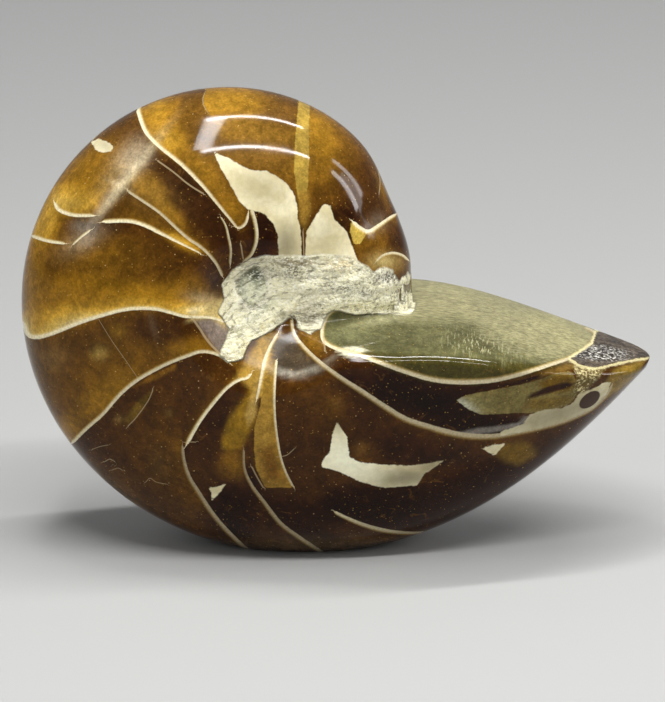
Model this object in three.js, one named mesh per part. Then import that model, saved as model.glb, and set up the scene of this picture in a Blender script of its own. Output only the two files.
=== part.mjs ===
// A polished fossil nautilus: one solid piece of brown calcite and grey-green stone in the shape of the coiled shell.
// It stands upright on a small flat ground under its belly, with its mouth pointing to the right.
// Millimetres, +Z up. X runs from the back of the coil to the tip of the mouth and Y from the near flank to the far one.
// The origin is on the ground, under the middle of the bounding box. The two flanks mirror each other across Y = 0.
import * as THREE from 'three';
import { mergeGeometries, mergeVertices } from 'three/addons/utils/BufferGeometryUtils.js';

const { clamp, degToRad, lerp, smoothstep } = THREE.MathUtils;
const FULL_TURN = 2 * Math.PI;

// Coil: a spiral in the middle plane. Its angle is 0 along +X and falls as the shell is followed back into the coil.
const AXIS = new THREE.Vector2(-14.4, 49.8);
const OUTER_RADIUS = 64.1;
const RADIUS_GROWTH = 2.49;
const HALF_WIDTH = 26.5;
const WIDTH_GROWTH = 1.6;

// Section of the whorl, from the coil axis to the outer edge: a squarish ellipse with a funnel at the umbilicus.
const FLANK_POWER = 2.2;
const FUNNEL_HALF_WIDTH = 15;
const FUNNEL_REACH = 0.22;
const FUNNEL_POWER = 3;

// Outer edge: it is ground out to a point at the mouth, and is a little flattened and then swollen over the seam.
const TIP_FLARE = 8.8;
const TIP_ANGLE = degToRad(-14);
const TIP_FADE = degToRad(18.5);
const FLAT_DEPTH = 1;
const FLAT_ANGLE = degToRad(-329);
const FLAT_SPREAD = degToRad(13);
const SWELL = 1.5;
const SWELL_START = degToRad(340);
const SWELL_END = degToRad(365);

// Mouth: a low crowned face between its two rims. The rims run below the coil axis and fall towards the tip.
// The face is highest where it meets the older whorl, along a seam that also runs below the axis.
const RIM_DEPTH = 8.4;
const RIM_FALL = 7.6;
const RIM_FALL_START = 27;
const RIM_FALL_END = 73;
const RIM_STEEPEST = degToRad(60);
const SEAM_DEPTH = 5.8;
const SEAM_STEEPEST = degToRad(30);
const CROWN_SHARE = 0.1;
const SEAM_CLIMB = 0.2;
const SHOULDER_SHARE = 0.3;
const SEAM_FILLET = 2.5;
const ROUNDING_START = 12;

const MOUTH_END = degToRad(-80);

// Rough ledge: unpolished flakes in the hollow from the umbilicus to the seam, lifted and pitted.
const LEDGE_START = new THREE.Vector2(-14, 50.4);
const LEDGE_END = new THREE.Vector2(13.3, 46.8);
const LEDGE_HALF_WIDTH = 6.6;
const LEDGE_TAPER = 4;
const LEDGE_EDGE = 1.6;
const LEDGE_LIFT = 0.5;
const LUMP_HEIGHT = 0.35;
const LUMP_LENGTH = 5.2;

// Grid: half the cells across a flank, and the share of each ring of cells that crosses the mouth.
const HALF_CELLS = 23;
const MOUTH_SHARE = 1 / 8;
const SEARCH_REACH = 12;
const SEARCH_STEPS = 30;

// The larger of two values, with the corner between them rounded over the given reach.
function smoothMax(a, b, reach) {
  const overlap = Math.max(reach - Math.abs(a - b), 0);
  return Math.max(a, b) + overlap ** 2 / (4 * Math.max(reach, 1e-6));
}

function smoothMin(a, b, reach) {
  return -smoothMax(-a, -b, reach);
}

// A square root that keeps the sign of its argument, so that a section goes on falling past its own edge.
function signedRoot(value) {
  return Math.sign(value) * Math.sqrt(Math.abs(value));
}

// Distance from the coil axis to the outer edge at a spiral angle.
function outerRadius(angle) {
  const spiral = OUTER_RADIUS * RADIUS_GROWTH ** (angle / FULL_TURN);
  const flare = TIP_FLARE * Math.exp(Math.min(angle - TIP_ANGLE, 0) / TIP_FADE);
  const flat = FLAT_DEPTH * Math.exp(-(((angle - FLAT_ANGLE) / FLAT_SPREAD) ** 2));
  return spiral + flare - flat + SWELL * smoothstep(-angle, SWELL_START, SWELL_END);
}

// Half the thickness of one whorl at a distance from the axis and a spiral angle, without the mouth's cut.
function whorl(distance, angle) {
  const share = distance / outerRadius(angle);
  const flank = HALF_WIDTH * WIDTH_GROWTH ** (angle / FULL_TURN) * signedRoot(1 - share ** FLANK_POWER);
  const funnel = 1 - Math.exp(-((share / FUNNEL_REACH) ** FUNNEL_POWER));
  return FUNNEL_HALF_WIDTH + (flank - FUNNEL_HALF_WIDTH) * funnel;
}

// Bearing from the coil axis of a line that runs at a depth below it, and turns up to the axis where they meet.
function bearing(distance, depth, steepest) {
  return -Math.asin(((distance / depth) ** 4 + Math.sin(steepest) ** -4) ** (-1 / 4));
}

function rimDepth(distance) {
  return RIM_DEPTH + RIM_FALL * smoothstep(distance, RIM_FALL_START, RIM_FALL_END);
}

function rimBearing(distance) {
  return bearing(distance, rimDepth(distance), RIM_STEEPEST);
}

// The seam is on the older whorl, one turn further into the coil.
function seamBearing(distance) {
  return bearing(distance, SEAM_DEPTH, SEAM_STEEPEST) - FULL_TURN;
}

// The distance at which a line given by its bearings reaches the outer edge.
function reachOf(bearingAt) {
  let distance = OUTER_RADIUS;
  for (let i = 0; i < SEARCH_STEPS; i++) {
    distance = outerRadius(bearingAt(distance));
  }
  return distance;
}

const tipRadius = reachOf(rimBearing);
const seamRadius = reachOf(seamBearing);

// How far from the middle plane the crowned face of the mouth reaches at a height: its parabola, turned round.
function mouthFace(distance, z) {
  const rim = rimBearing(distance);
  const halfWidth = Math.max(whorl(distance, rim), 0.5);
  const crown = CROWN_SHARE * halfWidth + SEAM_CLIMB * Math.max(seamRadius - distance, 0);
  const overRim = z - AXIS.y - distance * Math.sin(rim);
  return { halfWidth, reach: halfWidth * signedRoot(1 - overRim / crown) };
}

// Lift and lumps of the rough ledge: crossed waves inside a band that tapers from the umbilicus to the seam.
function ledgeRelief(x, z) {
  const along = LEDGE_END.clone().sub(LEDGE_START);
  const from = new THREE.Vector2(x, z).sub(LEDGE_START);
  const share = clamp(from.dot(along) / along.lengthSq(), 0, 1);
  const inset = LEDGE_HALF_WIDTH - LEDGE_TAPER * share - from.distanceTo(along.clone().multiplyScalar(share));
  const wave = FULL_TURN / LUMP_LENGTH;
  const lumps = Math.sin(wave * (x + 0.4 * z)) * Math.sin(wave * (1.3 * z - 0.3 * x)) + 0.4 * Math.sin(2.1 * wave * x);
  return smoothstep(inset, -LEDGE_EDGE / 2, LEDGE_EDGE / 2) * (LEDGE_LIFT * (1 - share) + LUMP_HEIGHT * lumps);
}

// Half the thickness of the whole shell over a point of the middle plane. It is negative outside the outline.
function halfThickness(x, z) {
  const distance = Math.hypot(x - AXIS.x, z - AXIS.y);
  const bearingHere = Math.atan2(z - AXIS.y, x - AXIS.x);
  const angle = bearingHere > Math.PI / 2 ? bearingHere - FULL_TURN : bearingHere;
  const newer = whorl(distance, angle);
  if (angle < MOUTH_END) {
    return newer + (newer > LUMP_HEIGHT ? ledgeRelief(x, z) : 0);
  }
  const older = whorl(distance, angle - FULL_TURN);
  const mouth = mouthFace(distance, z);
  const rounding = Math.min((distance / ROUNDING_START) ** 2, 1);
  const cut = smoothMin(newer, mouth.reach, SHOULDER_SHARE * mouth.halfWidth * rounding);
  const joined = smoothMax(older, cut, SEAM_FILLET * rounding);
  return joined + ledgeRelief(x, z) * smoothstep(joined, 0, LEDGE_HALF_WIDTH);
}

// A point of the whorl. Its turn is 0 at the seam and 1 at the rim, and its share is 0 at the axis and 1 at the edge.
function placeOnWhorl(turn, share) {
  const out = Math.sin((share * Math.PI) / 2);
  const passed = Math.log(1 + (RADIUS_GROWTH - 1) * turn) / Math.log(RADIUS_GROWTH);
  const edgeAngle = lerp(seamBearing(seamRadius), rimBearing(tipRadius), passed);
  const angle = lerp(seamBearing(out * seamRadius), rimBearing(out * tipRadius), passed);
  const distance = out * outerRadius(edgeAngle);
  const x = AXIS.x + distance * Math.cos(angle);
  const z = AXIS.y + distance * Math.sin(angle);
  return new THREE.Vector3(x, share === 1 ? 0 : Math.max(halfThickness(x, z), 0), z);
}

// A point of the mouth. It starts on the straight line from the rim to the seam, and moves up and out to the surface.
function placeOnMouth(turn, share) {
  const base = placeOnWhorl(1, share).lerp(placeOnWhorl(0, share), turn);
  const lean = degToRad(lerp(45, 90, share));
  const upAndOut = new THREE.Vector3(0, share === 1 ? 0 : Math.cos(lean), Math.sin(lean));
  let inside = -SEAM_FILLET * turn;
  let outside = SEARCH_REACH;
  for (let i = 0; i < SEARCH_STEPS; i++) {
    const middle = (inside + outside) / 2;
    const place = base.clone().addScaledVector(upAndOut, middle);
    if (place.y < halfThickness(place.x, place.z)) {
      inside = middle;
    } else {
      outside = middle;
    }
  }
  const place = base.addScaledVector(upAndOut, inside);
  return place.setY(share === 1 ? 0 : Math.max(place.y, 0));
}

// How far round a square ring of the grid a point lies, from 0 to 1, counterclockwise from the middle of its right side.
function turnOf(p, q) {
  const ring = Math.max(Math.abs(p), Math.abs(q), 1);
  if (p === ring) {
    return (1 + q / ring / 8) % 1;
  }
  if (q === ring) {
    return 1 / 4 - p / ring / 8;
  }
  return p === -ring ? 1 / 2 - q / ring / 8 : 3 / 4 + p / ring / 8;
}

function placeOnFlank(p, q) {
  const turn = turnOf(p, q);
  const share = Math.max(Math.abs(p), Math.abs(q)) / HALF_CELLS;
  return turn < MOUTH_SHARE
    ? placeOnMouth(turn / MOUTH_SHARE, share)
    : placeOnWhorl((turn - MOUTH_SHARE) / (1 - MOUTH_SHARE), share);
}

// One flank with its half of the mouth: a square grid bent so that each of its square rings follows the outline.
// Each cell is cut along the diagonal that points to the grid's centre. The side is -1 for the near flank.
function flank(side) {
  const row = 2 * HALF_CELLS + 1;
  const points = [];
  const faces = [];
  for (let i = 0; i < row * row; i++) {
    const p = (i % row) - HALF_CELLS;
    const q = Math.floor(i / row) - HALF_CELLS;
    const place = placeOnFlank(p, q);
    points.push(place.x, side * place.y, Math.max(place.z, 0));
    if (p < HALF_CELLS && q < HALF_CELLS) {
      const cell = [i, i + 1, i + row + 1, i + row];
      const [a, b, c, d] = (p + 0.5) * (q + 0.5) > 0 ? cell : [...cell.slice(1), i];
      faces.push(a, b, c, a, c, d);
    }
  }
  const surface = new THREE.BufferGeometry();
  surface.setAttribute('position', new THREE.Float32BufferAttribute(points, 3));
  surface.setIndex(side > 0 ? faces.reverse() : faces);
  return surface;
}

const shell = mergeVertices(mergeGeometries([flank(-1), flank(1)]), 1e-3);
shell.computeVertexNormals();

const polishedCalcite = new THREE.MeshStandardMaterial({ color: 0x6b3f12, roughness: 0.12, metalness: 0 });
const nautilus = new THREE.Mesh(shell, polishedCalcite);
nautilus.name = 'polished_nautilus';

const part = new THREE.Group();
part.add(nautilus);
export default part;
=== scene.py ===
"""A whole fossil nautilus, polished, standing on its belly with its mouth to the right."""
import math

import bpy
import numpy as np
from mathutils import Matrix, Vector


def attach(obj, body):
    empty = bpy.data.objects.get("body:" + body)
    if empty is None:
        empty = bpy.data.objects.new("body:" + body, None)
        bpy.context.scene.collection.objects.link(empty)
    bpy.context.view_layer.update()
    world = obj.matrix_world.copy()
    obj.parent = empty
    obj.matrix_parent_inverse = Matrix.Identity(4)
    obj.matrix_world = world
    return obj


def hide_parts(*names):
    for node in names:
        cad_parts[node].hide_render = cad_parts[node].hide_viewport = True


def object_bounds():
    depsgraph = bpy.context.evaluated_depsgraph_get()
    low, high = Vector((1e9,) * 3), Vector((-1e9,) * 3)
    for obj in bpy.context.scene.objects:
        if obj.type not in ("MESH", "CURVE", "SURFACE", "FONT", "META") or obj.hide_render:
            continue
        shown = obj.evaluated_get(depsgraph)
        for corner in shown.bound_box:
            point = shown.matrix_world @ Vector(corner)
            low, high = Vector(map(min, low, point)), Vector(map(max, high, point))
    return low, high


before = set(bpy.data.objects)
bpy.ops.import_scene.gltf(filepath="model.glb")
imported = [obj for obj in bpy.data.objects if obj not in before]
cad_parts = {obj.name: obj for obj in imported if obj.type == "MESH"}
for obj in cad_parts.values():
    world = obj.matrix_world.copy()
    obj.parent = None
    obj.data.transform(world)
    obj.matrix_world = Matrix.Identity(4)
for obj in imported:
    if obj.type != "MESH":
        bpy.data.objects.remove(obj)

cad_low, cad_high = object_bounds()

# The place of the camera. It looks at the near flank along +Y, from a little above, as the photograph does.
# Its picture is 665 pixels wide and 702 high, and one pixel covers 0.175 mm of the shell's middle plane.
PICTURE = np.array([665, 702])
PIXEL = 0.17534e-3
ELEVATION = math.radians(17.4)
CAMERA_DISTANCE = 1.3
CAMERA_AIM = np.array([-0.00103, 0.0, 0.03492])
SENSOR = 36
NEAREST_SEEN = 0.05
forward = np.array([0, math.cos(ELEVATION), -math.sin(ELEVATION)])
upward = np.array([0, math.sin(ELEVATION), math.cos(ELEVATION)])
focal_pixels = CAMERA_DISTANCE / PIXEL

lens = bpy.data.cameras.new("photographer")
lens.sensor_width = SENSOR
lens.lens = focal_pixels * SENSOR / PICTURE.max()
lens.clip_start = NEAREST_SEEN
camera = bpy.data.objects.new("photographer", lens)
camera.location = CAMERA_AIM - forward * CAMERA_DISTANCE
camera.rotation_euler = (math.pi / 2 - ELEVATION, 0, 0)
bpy.context.scene.collection.objects.link(camera)
bpy.context.scene.camera = camera


def picture_place(points):
    """Pixel columns and rows of points in metres: offset across the view over depth, times focal_pixels."""
    offset = points - np.array(camera.location)
    depth = offset @ forward
    column = PICTURE[0] / 2 + focal_pixels * offset[..., 0] / depth
    row = PICTURE[1] / 2 - focal_pixels * (offset @ upward) / depth
    return column, row


# The table. A plain pale sheet of dull paper that the nautilus stands on. It is wide enough to fill the whole
# picture behind the nautilus, from every side.
TABLE_SIZE = 3.0
PAPER_COLOUR = (0.40, 0.40, 0.39, 1)
PAPER_ROUGHNESS = 0.85
table_corners = np.array([(-1, -1, 0), (1, -1, 0), (1, 1, 0), (-1, 1, 0)]) * TABLE_SIZE / 2
table_mesh = bpy.data.meshes.new("table")
table_mesh.from_pydata(table_corners.tolist(), [], [(0, 1, 2, 3)])
table = bpy.data.objects.new("table", table_mesh)
bpy.context.scene.collection.objects.link(table)
paper = bpy.data.materials.new("pale_paper")
paper.use_nodes = True
paper_shader = paper.node_tree.nodes["Principled BSDF"]
paper_shader.inputs["Base Color"].default_value = PAPER_COLOUR
paper_shader.inputs["Roughness"].default_value = PAPER_ROUGHNESS
table_mesh.materials.append(paper)

# The light. A dim even room, and lamps that draw the photograph's reflections: a large open frame of tubes
# overhead, seen as two bright lines along the crest, a tall soft panel to the left and two tall strips to the
# right.
ROOM_COLOUR = (0.95, 0.97, 1.0, 1)
ROOM_STRENGTH = 0.29
MIDDLE = np.array([0, 0, 0.04])
bpy.context.scene.view_settings.view_transform = "Standard"
room = bpy.data.worlds.new("room")
bpy.context.scene.world = room
room.use_nodes = True
room.node_tree.nodes["Background"].inputs["Color"].default_value = ROOM_COLOUR
room.node_tree.nodes["Background"].inputs["Strength"].default_value = ROOM_STRENGTH


def lamp(name, start, end, width, watts, glint_only=False):
    """A flat lamp whose long side runs from start to end. It shines along its -Z, so its Z is the way out
    from the middle of the shell, less the part that runs along the lamp. A glint lights the polish alone."""
    start, end = np.array(start), np.array(end)
    centre = (start + end) / 2
    along = (end - start) / np.linalg.norm(end - start)
    facing = centre - MIDDLE
    facing -= along * (facing @ along)
    facing /= np.linalg.norm(facing)
    light = bpy.data.lights.new(name, "AREA")
    light.shape = "RECTANGLE"
    light.size = np.linalg.norm(end - start)
    light.size_y = width
    light.energy = watts
    holder = bpy.data.objects.new(name, light)
    turned = np.stack([along, np.cross(facing, along), facing, centre], axis=1)
    holder.matrix_world = Matrix([*turned, (0, 0, 0, 1)])
    holder.visible_diffuse = not glint_only
    bpy.context.scene.collection.objects.link(holder)


lamp("front_tube", (-0.16, -0.40, 0.64), (0.48, -0.28, 0.64), 0.026, 3.3)
lamp("top_tube", (-0.12, -0.02, 0.64), (0.35, 0.12, 0.64), 0.026, 2.0)
lamp("frame_end", (-0.145, -0.37, 0.64), (-0.06, 0.02, 0.64), 0.07, 1.6)
lamp("left_panel", (-0.55, -0.27, 0.14), (-0.50, -0.25, 0.62), 0.10, 0.6)
lamp("right_strip", (0.60, -0.10, 0.12), (0.60, -0.22, 0.50), 0.05, 0.6)
lamp("right_strip_far", (0.60, 0.03, 0.16), (0.60, -0.08, 0.56), 0.05, 0.5)

# The reflections are brighter than these lamps give, so a glint lamp lies just before most of them. It shows
# in the polish and lights nothing. The haze is the faint wide shine between the two strips.
lamp("front_glint", (-0.16, -0.40, 0.639), (0.48, -0.28, 0.639), 0.032, 3.0, glint_only=True)
lamp("top_glint", (-0.12, -0.02, 0.639), (0.35, 0.12, 0.639), 0.032, 2.2, glint_only=True)
lamp("end_glint", (-0.155, -0.37, 0.639), (-0.07, 0.02, 0.639), 0.09, 3.2, glint_only=True)
lamp("right_glint", (0.599, -0.10, 0.12), (0.599, -0.22, 0.50), 0.06, 1.3, glint_only=True)
lamp("right_glint_far", (0.599, 0.03, 0.16), (0.599, -0.08, 0.56), 0.06, 0.9, glint_only=True)
lamp("right_haze", (0.599, -0.035, 0.12), (0.599, -0.14, 0.42), 0.10, 0.8, glint_only=True)

# The nautilus. One coiled shell whose chambers filled with clear brown calcite and whose mouth filled with
# grey-green stone. It was ground and polished all over, so walls and fillings lie flush in one smooth
# surface, apart from a rough ledge in the hollow between the umbilicus and the seam, where the shell broke
# away in flakes.

# The sizes of its form are in millimetres, and are those of the solid. The coil is a spiral in the middle
# plane. Its angle is 0 along +X and falls as the shell is followed back into the coil.
FULL_TURN = 2 * math.pi
AXIS_X, AXIS_Z = -14.4, 49.8
OUTER_RADIUS = 64.1
RADIUS_GROWTH = 2.49
HALF_WIDTH = 26.5
WIDTH_GROWTH = 1.6

# Section of the whorl, from the coil axis to the outer edge: a squarish ellipse with a funnel at the
# umbilicus.
FLANK_POWER = 2.2
FUNNEL_HALF_WIDTH = 15
FUNNEL_REACH = 0.22
FUNNEL_POWER = 3

# Outer edge: it is ground out to a point at the mouth, and is a little flattened and then swollen over the
# seam.
TIP_FLARE = 8.8
TIP_ANGLE = math.radians(-14)
TIP_FADE = math.radians(18.5)
FLAT_DEPTH = 1
FLAT_ANGLE = math.radians(-329)
FLAT_SPREAD = math.radians(13)
SWELL = 1.5
SWELL_START = math.radians(340)
SWELL_END = math.radians(365)

# Mouth: a low crowned face between its two rims. The rims run below the coil axis and fall towards the tip.
# The face is highest where it meets the older whorl, along a seam that also runs below the axis.
RIM_DEPTH = 8.4
RIM_FALL = 7.6
RIM_FALL_START = 27
RIM_FALL_END = 73
RIM_STEEPEST = math.radians(60)
SEAM_DEPTH = 5.8
SEAM_STEEPEST = math.radians(30)
CROWN_SHARE = 0.1
SEAM_CLIMB = 0.2
THINNEST_MOUTH = 0.5
SHOULDER_SHARE = 0.3
SEAM_FILLET = 2.5
ROUNDING_START = 12
MOUTH_END = math.radians(-80)

# Grid: half the cells across a flank, how closely they crowd at the axis, and the share of each ring of cells
# that crosses the mouth. Points of the mouth's face are looked for within SEARCH_REACH of the straight line
# across it.
HALF_CELLS = 110
CELL_CROWDING = 1.2
MOUTH_SHARE = 1 / 8
SEARCH_REACH = 12
SEARCH_STEPS = 30
LEAN_AT_AXIS = 45
TO_METRES = 0.001
NEARLY_ZERO = 1e-6


def smoothstep(value, low, high):
    """0 below low, 1 above high, and the cubic 3t^2 - 2t^3 between them."""
    t = np.clip((value - low) / (high - low), 0, 1)
    return t * t * (3 - 2 * t)


def smooth_max(a, b, reach):
    """The larger of two values, plus (reach - difference)^2 / 4 reach where they are closer than reach."""
    overlap = np.maximum(reach - np.abs(a - b), 0)
    return np.maximum(a, b) + overlap**2 / (4 * np.maximum(reach, NEARLY_ZERO))


def signed_root(value):
    """The square root of the size of a value, with its sign."""
    return np.sign(value) * np.sqrt(np.abs(value))


def outer_radius(angle):
    """Coil axis to outer edge: a logarithmic spiral, plus the tip's flare and late swelling, less a flat."""
    spiral = OUTER_RADIUS * RADIUS_GROWTH ** (angle / FULL_TURN)
    flare = TIP_FLARE * np.exp(np.minimum(angle - TIP_ANGLE, 0) / TIP_FADE)
    flat = FLAT_DEPTH * np.exp(-(((angle - FLAT_ANGLE) / FLAT_SPREAD) ** 2))
    return spiral + flare - flat + SWELL * smoothstep(-angle, SWELL_START, SWELL_END)


def whorl(distance, angle):
    """Half a whorl's thickness: a squarish ellipse over the outer radius, with a funnel in its middle."""
    share = distance / outer_radius(angle)
    flank = HALF_WIDTH * WIDTH_GROWTH ** (angle / FULL_TURN) * signed_root(1 - share**FLANK_POWER)
    funnel = 1 - np.exp(-((share / FUNNEL_REACH) ** FUNNEL_POWER))
    return FUNNEL_HALF_WIDTH + (flank - FUNNEL_HALF_WIDTH) * funnel


def bearing(distance, depth, steepest):
    """Bearing of a line that runs a depth below the axis and turns up to it at its steepest. Its sine is the
    smaller of depth / distance and sin(steepest), smoothed by fourth powers."""
    return -np.arcsin(((distance / depth) ** 4 + math.sin(steepest) ** -4) ** (-1 / 4))


def rim_bearing(distance):
    """Bearing of the mouth's rim, whose depth below the axis grows towards the tip."""
    depth = RIM_DEPTH + RIM_FALL * smoothstep(distance, RIM_FALL_START, RIM_FALL_END)
    return bearing(distance, depth, RIM_STEEPEST)


def seam_bearing(distance):
    """Bearing of the seam where the mouth meets the older whorl, one turn further into the coil."""
    return bearing(distance, SEAM_DEPTH, SEAM_STEEPEST) - FULL_TURN


def reach_of(bearing_at):
    """Where a line reaches the outer edge: distance = outer_radius(bearing(distance)), by repeating it."""
    distance = OUTER_RADIUS
    for _ in range(SEARCH_STEPS):
        distance = outer_radius(bearing_at(distance))
    return distance


tip_radius = reach_of(rim_bearing)
seam_radius = reach_of(seam_bearing)


def mouth_face(distance, z):
    """Half width of the mouth, and how far out its crown is at z: half width * root(1 - rise / crown)."""
    rim = rim_bearing(distance)
    half_width = np.maximum(whorl(distance, rim), THINNEST_MOUTH)
    crown = CROWN_SHARE * half_width + SEAM_CLIMB * np.maximum(seam_radius - distance, 0)
    over_rim = z - AXIS_Z - distance * np.sin(rim)
    return half_width, half_width * signed_root(1 - over_rim / crown)


def half_thickness(x, z):
    """Half the shell's thickness over a place of the middle plane: the younger whorl cut by the mouth, joined
    to the older one by smooth_max."""
    distance = np.maximum(np.hypot(x - AXIS_X, z - AXIS_Z), NEARLY_ZERO)
    angle = np.arctan2(z - AXIS_Z, x - AXIS_X)
    angle = np.where(angle > math.pi / 2, angle - FULL_TURN, angle)
    newer = whorl(distance, angle)
    older = whorl(distance, angle - FULL_TURN)
    half_width, reach = mouth_face(distance, z)
    rounding = np.minimum((distance / ROUNDING_START) ** 2, 1)
    cut = -smooth_max(-newer, -reach, SHOULDER_SHARE * half_width * rounding)
    joined = smooth_max(older, cut, SEAM_FILLET * rounding)
    return np.where(angle < MOUTH_END, newer, joined)


def place_on_whorl(turn, share):
    """Turn 0 is the seam and 1 the rim, share 0 the axis and 1 the outer edge: a polar place, with a bearing
    blended from the seam's and the rim's at that share."""
    out = np.sin(share**CELL_CROWDING * math.pi / 2)
    passed = np.log(1 + (RADIUS_GROWTH - 1) * turn) / math.log(RADIUS_GROWTH)
    seam_edge, rim_edge = seam_bearing(seam_radius), rim_bearing(tip_radius)
    edge_angle = seam_edge + (rim_edge - seam_edge) * passed
    seam_here, rim_here = seam_bearing(out * seam_radius), rim_bearing(out * tip_radius)
    angle = seam_here + (rim_here - seam_here) * passed
    distance = out * outer_radius(edge_angle)
    x = AXIS_X + distance * np.cos(angle)
    z = AXIS_Z + distance * np.sin(angle)
    half = np.where(share == 1, 0, np.maximum(half_thickness(x, z), 0))
    return np.stack([x, half, z], axis=-1)


def place_on_mouth(turn, share):
    """From a straight line between rim and seam, with turn as the share of it passed, up and out to the
    surface, found by halving the step. The way leans out at the axis and is upright at the outer edge."""
    base = place_on_whorl(np.ones_like(share), share) * (1 - turn[:, None])
    base += place_on_whorl(np.zeros_like(share), share) * turn[:, None]
    lean = np.radians(LEAN_AT_AXIS + (90 - LEAN_AT_AXIS) * share)
    up_and_out = np.stack([0 * lean, np.where(share == 1, 0, np.cos(lean)), np.sin(lean)], axis=-1)
    inside = -SEAM_FILLET * turn
    outside = np.full_like(share, SEARCH_REACH)
    for _ in range(SEARCH_STEPS):
        middle = (inside + outside) / 2
        place = base + up_and_out * middle[:, None]
        is_inside = place[:, 1] < half_thickness(place[:, 0], place[:, 2])
        inside = np.where(is_inside, middle, inside)
        outside = np.where(is_inside, outside, middle)
    place = base + up_and_out * inside[:, None]
    place[:, 1] = np.where(share == 1, 0, np.maximum(place[:, 1], 0))
    return place


# A flank is a square grid bent round the coil axis. A point's share is how far out its square ring lies, and
# its turn is how much of the ring has been passed, counted from the middle of one side. Each side is a
# quarter turn.
cells = np.arange(-HALF_CELLS, HALF_CELLS + 1)
q, p = np.meshgrid(cells, cells, indexing="ij")
ring = np.maximum(np.abs(p), np.abs(q))
side_cells = np.maximum(ring, 1)
cells_round = 8 * side_cells
turn = np.select(
    [p == side_cells, q == side_cells, p == -side_cells],
    [(1 + q / cells_round) % 1, 1 / 4 - p / cells_round, 1 / 2 - q / cells_round],
    3 / 4 + p / cells_round,
).ravel()
share = (ring / HALF_CELLS).ravel()
on_mouth = turn < MOUTH_SHARE
flank = np.zeros((turn.size, 3))
flank[on_mouth] = place_on_mouth(turn[on_mouth] / MOUTH_SHARE, share[on_mouth])
flank[~on_mouth] = place_on_whorl((turn[~on_mouth] - MOUTH_SHARE) / (1 - MOUTH_SHARE), share[~on_mouth])
flank *= TO_METRES
flank[:, 1] *= -1
on_edge = share == 1

# Near flank and far flank share the points of the outer edge. The far one is the near one's mirror image.
side_count = flank.shape[0]
far_flank = flank * [1, -1, 1]
inner = ~on_edge
far_index = np.where(on_edge, np.arange(side_count), side_count + np.cumsum(inner) - 1)
points = np.concatenate([flank, far_flank[inner]])
is_far = np.arange(len(points)) >= side_count
is_mouth = np.concatenate([on_mouth, on_mouth[inner]])
row_length = 2 * HALF_CELLS + 1
corner = (np.arange(row_length - 1)[:, None] * row_length + np.arange(row_length - 1)).ravel()
near_faces = np.stack([corner, corner + 1, corner + row_length + 1, corner + row_length], axis=1)
faces = np.concatenate([near_faces, far_index[near_faces][:, ::-1]])

# Every marking has its place in the photograph, so each point of the shell gets the pixel it is seen at.
# Points of the far flank take the pixel of their mirror image, drifted a little, so that both flanks differ.
# The far half of the mouth's face can be seen, and takes its own pixel, but none to the left of the seam. The
# drift is a slow wave of each pixel coordinate along the other, and grows with the distance from the middle
# plane.
DRIFT = 9
DRIFT_START, DRIFT_END = 0.002, 0.012
SWIRL_LENGTHS = 31, 37
SWIRL_STARTS = 1, 2
FACE_START = 424
mirrored = points.copy()
mirrored[:, 1] = -np.abs(points[:, 1])
spots = np.stack(picture_place(mirrored), axis=1)
seen = np.stack(picture_place(points), axis=1)
drift = DRIFT * (is_far * smoothstep(np.abs(points[:, 1]), DRIFT_START, DRIFT_END))[:, None]
swirl = np.sin(spots[:, ::-1] / SWIRL_LENGTHS + SWIRL_STARTS)
seen[:, 0] = np.maximum(seen[:, 0], FACE_START)
spots = np.where((is_far & is_mouth)[:, None], seen, spots + drift * swirl)

# Lines and outlines are measured in pixels, for the spots within LINE_REACH of them.
LINE_STEPS = 4
LINE_REACH = 80.0


def trace(path):
    """A smooth line through picture points: LINE_STEPS Catmull-Rom steps between each pair."""
    path = np.array(path, float)
    padded = np.concatenate([2 * path[:1] - path[1:2], path, 2 * path[-1:] - path[-2:-1]])
    before, first, second, after = padded[:-3], padded[1:-2], padded[2:-1], padded[3:]
    t = (np.arange(LINE_STEPS) / LINE_STEPS)[:, None, None]
    bend = (2 * before - 5 * first + 4 * second - after) * t**2
    bend += (3 * (first - second) + after - before) * t**3
    smooth = first + ((second - before) * t + bend) / 2
    return np.concatenate([smooth.transpose(1, 0, 2).reshape(-1, 2), path[-1:]])


def gaps(places, start, step):
    """Distance from each place to each straight step of a line, the share of the step passed where it is
    nearest, and the way from the step's start to the place."""
    out = places[:, None] - start
    passed = np.clip((out * step).sum(-1) / (step**2).sum(-1), 0, 1)
    miss = out - passed[..., None] * step
    return np.hypot(miss[..., 0], miss[..., 1]), passed, out


def beside(path):
    """Each spot's distance from a path, positive on the right going along it, and the share passed."""
    line = trace(path)
    start, step = line[:-1], np.diff(line, axis=0)
    close = ((spots > line.min(0) - LINE_REACH) & (spots < line.max(0) + LINE_REACH)).all(1)
    gap, passed, out = gaps(spots[close], start, step)
    best = gap.argmin(1)
    pick = np.arange(len(best)), best
    side = np.sign(step[best, 0] * out[pick][:, 1] - step[best, 1] * out[pick][:, 0])
    away = np.full(len(spots), LINE_REACH)
    share_passed = np.zeros(len(spots))
    away[close] = side * gap[pick]
    share_passed[close] = (best + passed[pick]) / len(step)
    return away, share_passed


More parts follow.
